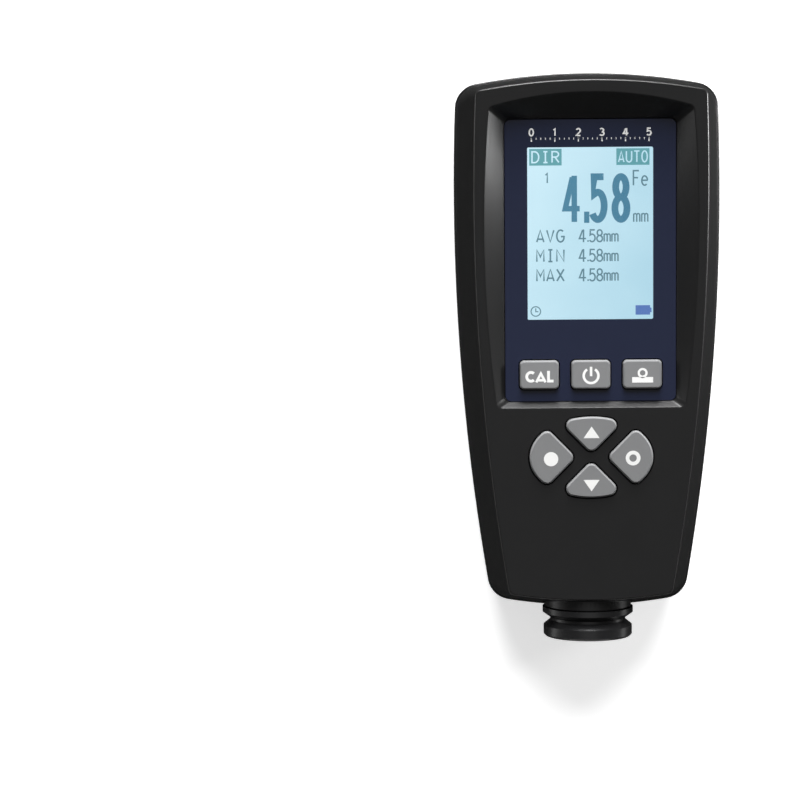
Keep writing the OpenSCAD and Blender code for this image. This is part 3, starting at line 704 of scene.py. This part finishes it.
DOT_R = 1.43
sheet = key_top("key_left", FRONT_SLOPE)[1]
legend("left", [plate(bow(cluster[0] - 8.1, cluster[1] - 0.3, DOT_R, DOT_R, 0, 360)[:-1], sheet)])

RING_R = 1.48
RING_WEIGHT = 0.74
sheet = key_top("key_right", FRONT_SLOPE)[1]
legend("right", [ribbon(ring(cluster[0] + 8.3, cluster[1] - 0.2, RING_R, RING_WEIGHT), RING_WEIGHT, sheet)])

# %% [markdown]
# ## The scale above the window
# The strip above the window is printed in white. Here it holds a plain scale: six numerals over a row of
# ticks, long ones under the numerals and short ones between.

# %% The printed scale
SCALE_W = 23.4
LAST_NUMERAL = 5
SHORT_STEPS = 5
STRIP_DROP = 2.35
NUMERAL_DROP = 0.85
NUMERAL_H = 1.35
NUMERAL_W = 0.8
NUMERAL_WEIGHT = 0.3
TICK_DROP = 1.25
LONG_TICK = 0.8
SHORT_TICK = 0.4


def level(height):
    """A flat sheet at a height in mm."""
    return lambda flat: np.full(flat.shape[:-1], height)


def tick(x, y, length, weight):
    """A tick that hangs down from a point of the strip, in mm."""
    return ribbon(line((x, y), (x, y - length)), weight, strip_sheet)


panel_high = np.array(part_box("display_panel")[1]) / MM
strip_sheet = level(panel_high[2])
strip_y = panel_high[1] - STRIP_DROP
numerals = []
for k, x in enumerate(np.linspace(-SCALE_W / 2, SCALE_W / 2, LAST_NUMERAL + 1)):
    numerals += lettering(str(k), x - NUMERAL_W / 2, strip_y - NUMERAL_DROP, NUMERAL_H, NUMERAL_W, 0,
                          NUMERAL_WEIGHT, strip_sheet)
    numerals.append(tick(x, strip_y - TICK_DROP, LONG_TICK, 0.24))
for x in np.linspace(-SCALE_W / 2, SCALE_W / 2, LAST_NUMERAL * SHORT_STEPS + 1):
    numerals.append(tick(x, strip_y - TICK_DROP, SHORT_TICK, 0.14))
printed("panel_scale", "housing", "ink_white", numerals)

# %% [markdown]
# ## The picture on the display
# The cell shows a reading in tall condensed figures, its unit, three rows of results, two mode boxes in
# reverse, a clock and a battery. All of it lies on the cell's upper face, under the window.

# %% Marks on the display
MARK_GAP = 0.02
BOX_LIFT = 0.03
cell_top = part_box("lcd_glass")[1].z / MM + 0.5 * INK + MARK_GAP
left, top = window_low.x / MM, window_high.y / MM
lcd_sheet = level(cell_top)
box_sheet = level(cell_top + BOX_LIFT)


def word(text, x, y, height, width, pitch, weight, sheet=lcd_sheet):
    """Lettering whose lower left corner lies x and y from the window's upper left corner, in mm."""
    return lettering(text, left + x, top - y, height, width, pitch, weight, sheet)


def block(x0, y0, x1, y1):
    """A rectangle between two corners, measured from the window's upper left corner, in mm."""
    corners = np.array([(x0, -y1), (x1, -y1), (x1, -y0), (x0, -y0)])
    return plate(corners + (left, top), lcd_sheet)


FIGURE = {"height": 8.5, "width": 2.4, "pitch": 0, "weight": 1.36}
THIN_FIGURE = FIGURE | {"weight": 1.1}
reading = word("4", 7.55, 14.45, **THIN_FIGURE) + [block(11.3, 12.75, 12.35, 15.0)]
reading += word("5", 12.95, 14.35, **FIGURE) + word("8", 17.45, 14.35, **FIGURE)
printed("lcd_reading", "housing", "mark_teal", reading)

ROWS = {"AVG": 18.75, "MIN": 22.65, "MAX": 26.55}
ROW_H = 2.35
results = []
for label, base in ROWS.items():
    results += word(label, 1.85, base, ROW_H, 1.4, 2.0, 0.33)
    results += word("4", 10.35, base, ROW_H, 1.1, 0, 0.3) + word(".", 11.9, base, ROW_H, 1.1, 0, 0.34)
    results += word("58", 12.4, base, ROW_H, 1.1, 1.45, 0.3) + word("mm", 15.3, base, ROW_H, 1.2, 1.55, 0.28)
printed("lcd_rows", "housing", "mark_grey", results)

signs = word("1", 3.5, 7.0, 1.9, 0.9, 0, 0.31) + word("Fe", 21.15, 7.6, 2.9, 1.2, 1.65, 0.31)
signs += word("mm", 21.2, 14.85, 2.5, 1.2, 1.6, 0.28)
clock = bow(left + 1.6, top - 32.6, 0.95, 0.95, 0, 360)
hands = line((1.6, -31.95), (1.6, -32.65), (2.1, -32.65)) + (left, top)
signs += [ribbon(clock, 0.22, lcd_sheet), ribbon(hands, 0.2, lcd_sheet)]
printed("lcd_signs", "housing", "mark_grey", signs)

mode_boxes = [block(0.4, 0.25, 6.85, 3.55), block(17.75, 0.25, 24.35, 3.55)]
printed("lcd_boxes", "housing", "mark_box", mode_boxes)
modes = word("DIR", 0.95, 2.95, 2.15, 1.35, 2.0, 0.3, box_sheet)
modes += word("AUTO", 18.2, 2.95, 2.15, 1.05, 1.55, 0.28, box_sheet)
printed("lcd_modes", "housing", "lcd_pale", modes)
battery = [block(21.55, 31.5, 24.45, 33.4), block(24.45, 32.0, 24.75, 32.9)]
printed("lcd_battery", "housing", "mark_blue", battery)

# %% [markdown]
# ## Floor and light
# The gauge lies on a white table that is lit from within, which washes out most of its shadow. The table
# isn't mirrored in the case, so its sides stay black. A softbox near the right brightens the bevel on the
# left of the display, most at its upper end. Low, distant lights at the top end and on the left draw the
# lower bevel and the ridges. The main light at the top end is left out of mirrored and clear surfaces, or it
# would glare in the window. The sky is brighter overhead, which lifts the front face, and in a narrow band
# below the horizon, which draws the edges.

# %% The floor
FLOOR_HALF = 6
FLOOR_DROP = 0.02 * MM
FLOOR_GLOW = 0.6
floor_white = moulded("floor_white", (0.86, 0.86, 0.86), (0.88, 0.88, 0.88), 20 * MM, (0.8, 0.05), 0,
                      **{"Emission Color": opaque((1, 1, 1)), "Emission Strength": FLOOR_GLOW})
floor_points = np.array([(-1, -1, 0), (1, -1, 0), (1, 1, 0), (-1, 1, 0)]) * FLOOR_HALF - (0, 0, FLOOR_DROP)
floor = new_piece("floor", floor_points, [(0, 1, 2, 3)], floor_white)
floor.visible_glossy = False


# %% The lights
def soft_sun(name, azimuth, elevation, spread, strength):
    """A distant light that fills a disc of the sky. Its azimuth, from +X towards +Y, its elevation and the
    disc's spread are in degrees."""
    data = bpy.data.lights.new(name, "SUN")
    data.angle = math.radians(spread)
    data.energy = strength
    lamp = bpy.data.objects.new(name, data)
    a, e = math.radians(azimuth), math.radians(elevation)
    towards = Vector((math.cos(a) * math.cos(e), math.sin(a) * math.cos(e), math.sin(e)))
    lamp.rotation_euler = (-towards).to_track_quat("-Z", "Y").to_euler()
    bpy.context.scene.collection.objects.link(lamp)
    return lamp


def softbox(name, place, target, size, power):
    """A lit panel: its place, the target that it faces and its size in mm, and its power in watts."""
    data = bpy.data.lights.new(name, "AREA")
    data.shape = "RECTANGLE"
    data.size, data.size_y = (side * MM for side in size)
    data.energy = power
    lamp = bpy.data.objects.new(name, data)
    lamp.location = Vector(place) * MM
    lamp.rotation_euler = (Vector(target) - Vector(place)).to_track_quat("-Z", "Y").to_euler()
    lamp.visible_camera = False
    bpy.context.scene.collection.objects.link(lamp)


softbox("light_right", (175, 56, 28), (-25, 42, 22), (46, 36), 0.35)
soft_sun("light_left", 172, 2, 16, 0.6)
soft_sun("light_end", 90, 8, 24, 4.5)
light_top = soft_sun("light_top", 88, 31, 44, 6.2)
light_top.visible_glossy = False
light_top.visible_transmission = False

# Strengths of the sky, and the heights on the unit sphere where its brighter parts begin and end.
SKY_BASE = 0.02
SKY_DOME = 0.08
SKY_OVERHEAD = 0.34
SKY_BAND = 1.5
OVERHEAD_FROM = 0.92
BAND_LOW = -0.34
BAND_HIGH = -0.08
world = bpy.data.worlds.new("studio")
bpy.context.scene.world = world
world.use_nodes = True
sky = Wire(world.node_tree, world.node_tree.nodes.new("ShaderNodeTexCoord").outputs["Generated"])
height = axis(sky, 2)
dome = SKY_DOME * (height > 0) + SKY_OVERHEAD * (height > OVERHEAD_FROM)
band = SKY_BAND * ((height < BAND_HIGH) * (height > BAND_LOW))
background = world.node_tree.nodes["Background"]
background.inputs["Color"].default_value = opaque((1, 1, 1))
(SKY_BASE + dome + band).feed(background.inputs["Strength"])
bpy.context.scene.view_settings.view_transform = "Standard"
